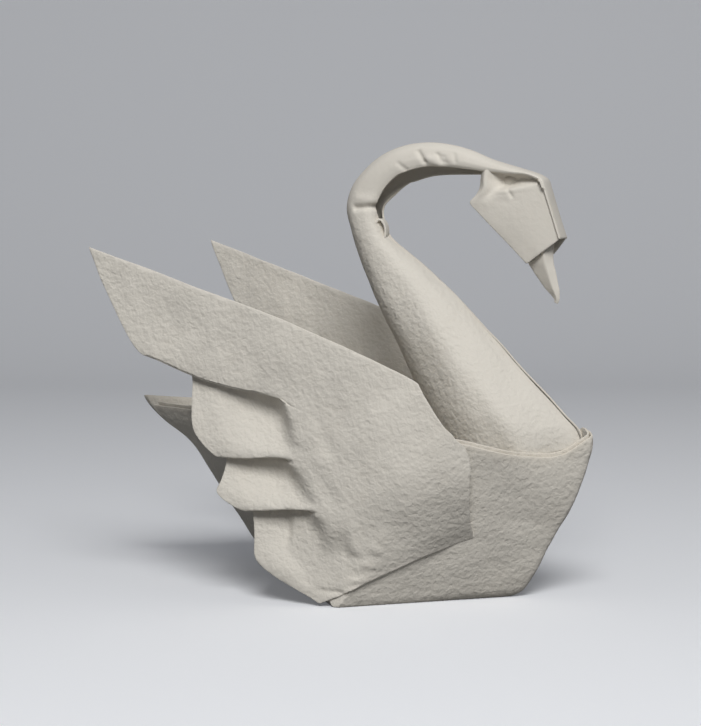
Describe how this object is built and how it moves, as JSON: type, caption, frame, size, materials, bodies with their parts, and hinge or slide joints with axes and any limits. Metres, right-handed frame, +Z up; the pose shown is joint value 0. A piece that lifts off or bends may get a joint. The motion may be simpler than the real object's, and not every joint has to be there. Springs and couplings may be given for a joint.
{
  "type": "origami swan",
  "caption": "Paper swan folded from a single thick off-white sheet, with an open boat-shaped body, upswept tail, hooped neck, folded head and beak, and pleated wings held up behind.",
  "frame": {"origin": "where the diagonals of the kite-shaped base cross, on the flat face that the swan rests on", "axes": "+X towards the breast, +Y to the swan's left, +Z up"},
  "size_m": [0.1054, 0.06, 0.0973],
  "materials": {
    "paper": "matt, toothy, warm off-white"
  },
  "bodies": {
    "root": {"swan": "paper"}
  },
  "joints": []
}
